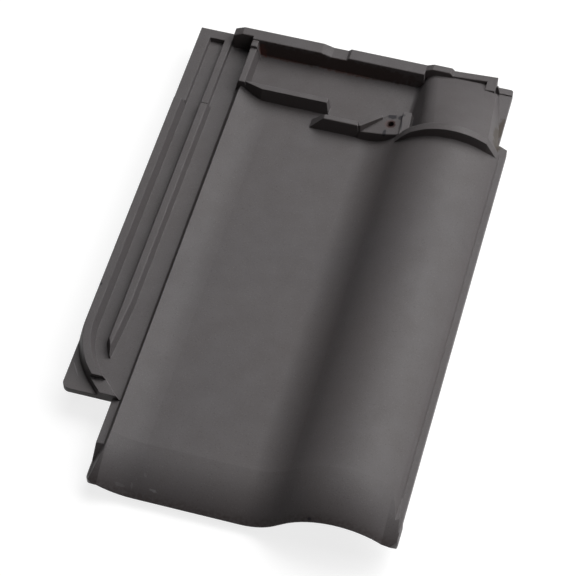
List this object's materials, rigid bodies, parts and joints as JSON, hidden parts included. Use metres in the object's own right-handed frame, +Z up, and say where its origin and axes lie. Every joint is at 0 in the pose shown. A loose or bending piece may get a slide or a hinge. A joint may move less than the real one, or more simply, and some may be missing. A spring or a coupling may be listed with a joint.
{
  "type": "interlocking roof tile",
  "caption": "Single clay roof tile with a flat pan, one raised roll, an interlocking side lock, a stepped head with a nail hole, and hanging nibs underneath.",
  "frame": {"origin": "centre of the tile's length and width, on the floor it lies on", "axes": "+X across the tile towards the roll, +Y up the roof towards the head, +Z up"},
  "size_m": [0.29, 0.46, 0.0654],
  "materials": {
    "fired_clay": "matt, smooth engobe"
  },
  "bodies": {
    "root": {"roof_tile": "fired_clay"}
  },
  "joints": []
}
